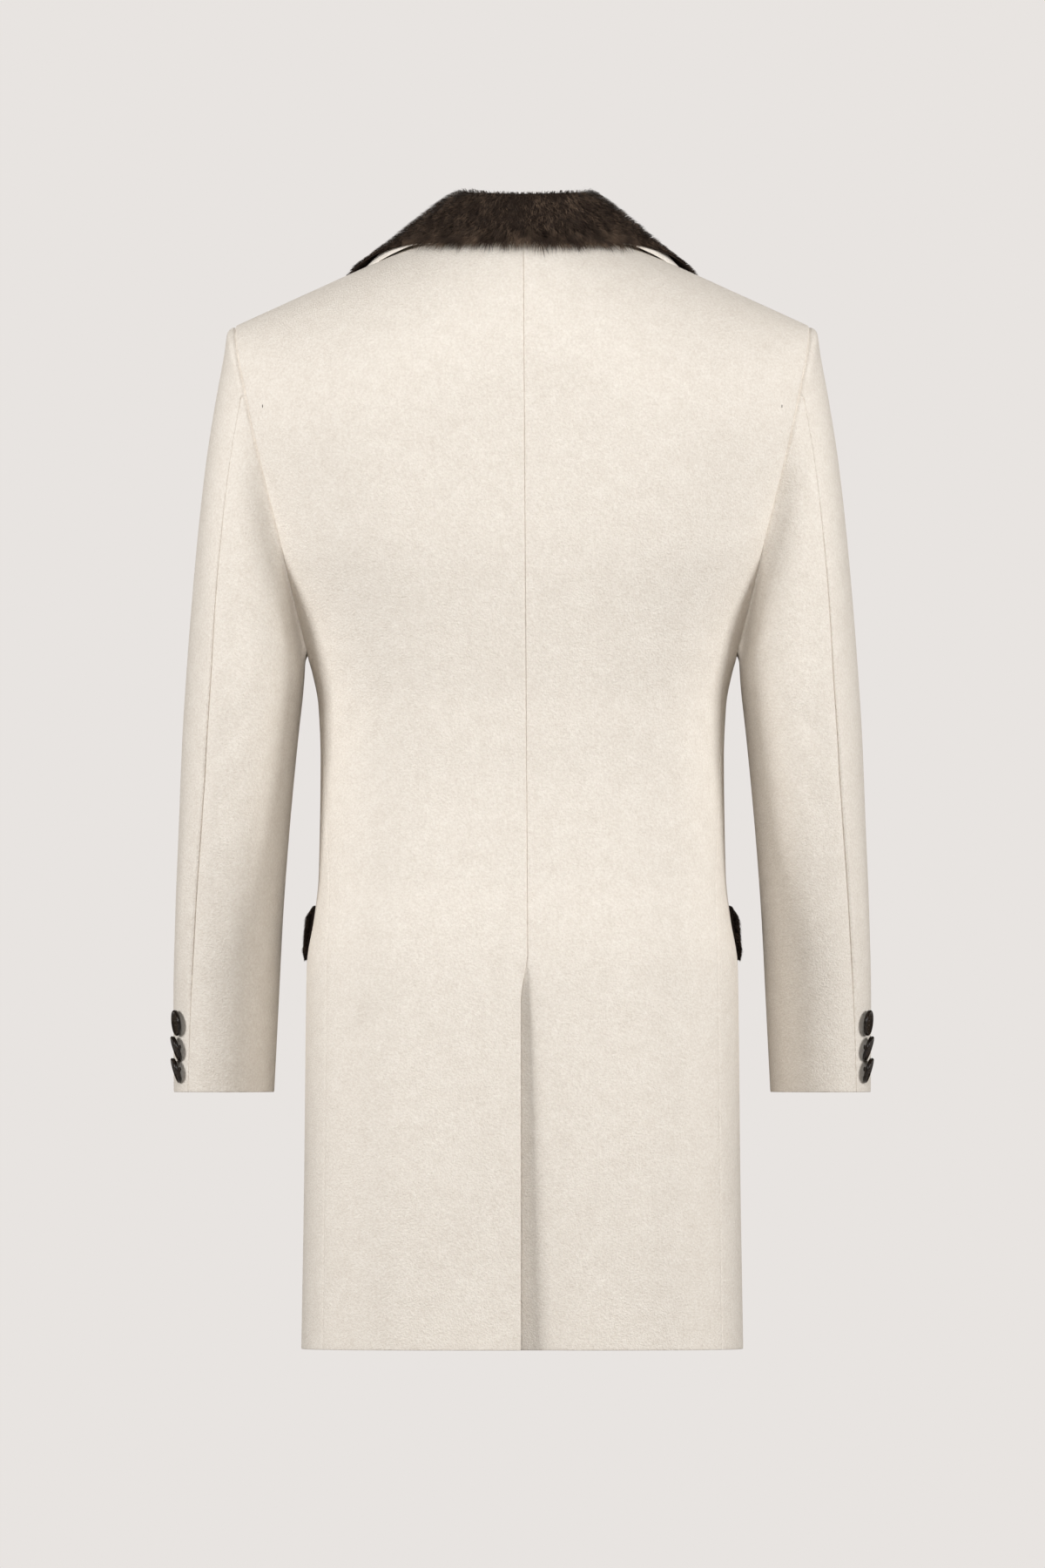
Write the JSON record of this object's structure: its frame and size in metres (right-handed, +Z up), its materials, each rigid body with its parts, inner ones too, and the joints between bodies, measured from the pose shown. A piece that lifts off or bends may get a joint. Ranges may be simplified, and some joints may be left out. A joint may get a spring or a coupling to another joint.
{
  "type": "felt coat",
  "caption": "Knee-length cream felt overcoat with a dark fur collar and pocket flaps, a centre back vent and cuff buttons, hollow and filled out as if worn.",
  "frame": {"origin": "middle of the neck opening, level with the points where shoulder and neck meet", "axes": "+Z up, -Y out of the back of the coat, +X to the wearer's right"},
  "size_m": [0.6038, 0.3041, 0.9901],
  "materials": {
    "cream_felt": "soft napped wool felt",
    "brown_fur": "short plush fur",
    "dark_horn": "polished dark horn"
  },
  "bodies": {
    "root": {"back_left": "cream_felt", "back_right": "cream_felt", "side_left": "cream_felt", "side_right": "cream_felt", "front_left": "cream_felt", "front_right": "cream_felt", "sleeve_upper_left": "cream_felt", "sleeve_upper_right": "cream_felt", "sleeve_under_left": "cream_felt", "sleeve_under_right": "cream_felt", "collar_fur": "brown_fur", "collar_under": "cream_felt", "lapel_left": "cream_felt", "lapel_right": "cream_felt", "flap_left": "brown_fur", "flap_right": "brown_fur", "cuff_button_left_1": "dark_horn", "cuff_button_left_2": "dark_horn", "cuff_button_left_3": "dark_horn", "cuff_button_right_1": "dark_horn", "cuff_button_right_2": "dark_horn", "cuff_button_right_3": "dark_horn", "front_button_1": "dark_horn", "front_button_2": "dark_horn", "front_button_3": "dark_horn"}
  },
  "joints": []
}
